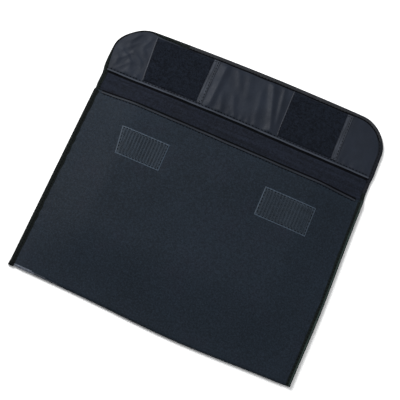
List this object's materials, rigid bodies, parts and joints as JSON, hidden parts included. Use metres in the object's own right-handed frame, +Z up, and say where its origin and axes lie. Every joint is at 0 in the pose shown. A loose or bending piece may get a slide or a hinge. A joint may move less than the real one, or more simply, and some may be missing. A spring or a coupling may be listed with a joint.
{
  "type": "lipo safe bag",
  "caption": "Flat fire-resistant fabric pouch for charging and storing a model battery, open along its top edge, with a fold-over flap that closes on hook and loop patches.",
  "frame": {"origin": "centre of the footprint of the open bag, on the surface it lies on", "axes": "+X across the bag to the right as seen from the front, +Y from the bottom fold towards the open flap's tip, +Z up out of the front panel"},
  "size_m": [0.3004, 0.29, 0.0136],
  "materials": {
    "outer_fabric": "coated glass-fibre cloth, dark slate, low sheen, fine plain weave",
    "insulation": "pale grey needled glass-fibre felt, matt",
    "lining": "thin dark coated cloth, matt",
    "facing": "glossy coated cloth that creases with bright highlights",
    "binding_tape": "black woven tape, matt, finely ribbed",
    "hook_tape": "black hook tape in rows, slightly glossy nylon",
    "loop_tape": "black brushed loop tape, deep fuzzy pile",
    "thread": "black twisted sewing thread"
  },
  "bodies": {
    "pouch": {"pouch_outer_fabric": "outer_fabric", "pouch_insulation": "insulation", "pouch_lining": "lining", "left_side_binding": "binding_tape", "right_side_binding": "binding_tape", "mouth_binding": "outer_fabric", "left_hook_patch": "hook_tape", "right_hook_patch": "hook_tape", "left_side_stitching": "thread", "right_side_stitching": "thread", "mouth_stitching": "thread", "left_hook_stitching": "thread", "right_hook_stitching": "thread"},
    "fold_band": {"band_outer_fabric": "outer_fabric", "band_insulation": "insulation", "band_lining": "lining", "left_band_binding": "binding_tape", "right_band_binding": "binding_tape", "band_stitching": "thread"},
    "flap": {"flap_outer_fabric": "outer_fabric", "flap_insulation": "insulation", "flap_lining": "lining", "flap_facing": "facing", "facing_hem": "facing", "facing_stitching": "thread", "left_loop_patch": "loop_tape", "right_loop_patch": "loop_tape", "left_loop_stitching": "thread", "right_loop_stitching": "thread", "flap_binding": "binding_tape", "flap_binding_stitching": "thread"}
  },
  "joints": [
    {"name": "band_fold", "type": "hinge", "parent": "pouch", "child": "fold_band", "pos_m": [0, 0.0615, 0.0022], "axis": [1, 0, 0], "range_deg": [0, 90]},
    {"name": "flap_fold", "type": "hinge", "parent": "fold_band", "child": "flap", "pos_m": [0, 0.0754, 0.0022], "axis": [1, 0, 0], "range_deg": [0, 90]}
  ],
  "couplings": [
    {"joint": "flap_fold", "follows": "band_fold", "ratio": 1}
  ]
}
